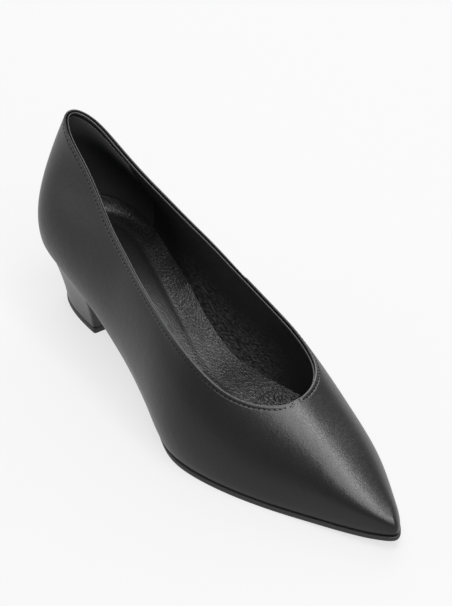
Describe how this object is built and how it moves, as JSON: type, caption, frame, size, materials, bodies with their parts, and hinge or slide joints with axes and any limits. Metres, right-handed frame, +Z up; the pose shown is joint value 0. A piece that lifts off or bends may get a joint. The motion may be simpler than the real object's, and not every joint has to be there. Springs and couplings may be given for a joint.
{
  "type": "block heel pump",
  "caption": "Right shoe: a high-cut pump in smooth black leather with a pointed toe, a thin sole and a low leather-covered block heel.",
  "frame": {"origin": "centre of the bounding box, on the floor that the shoe stands on", "axes": "+X from heel to toe, +Y to the medial side, +Z up"},
  "size_m": [0.2668, 0.0774, 0.098],
  "materials": {
    "upper_leather": "smooth, semi-gloss",
    "sole": "satin",
    "sock_leather": "glossy, fine crinkle",
    "heel_cover": "smooth, semi-gloss",
    "lift": "matte"
  },
  "bodies": {
    "root": {"upper": "upper_leather", "outsole": "sole", "insole": "sock_leather", "heel": "heel_cover", "top_lift": "lift"}
  },
  "joints": []
}
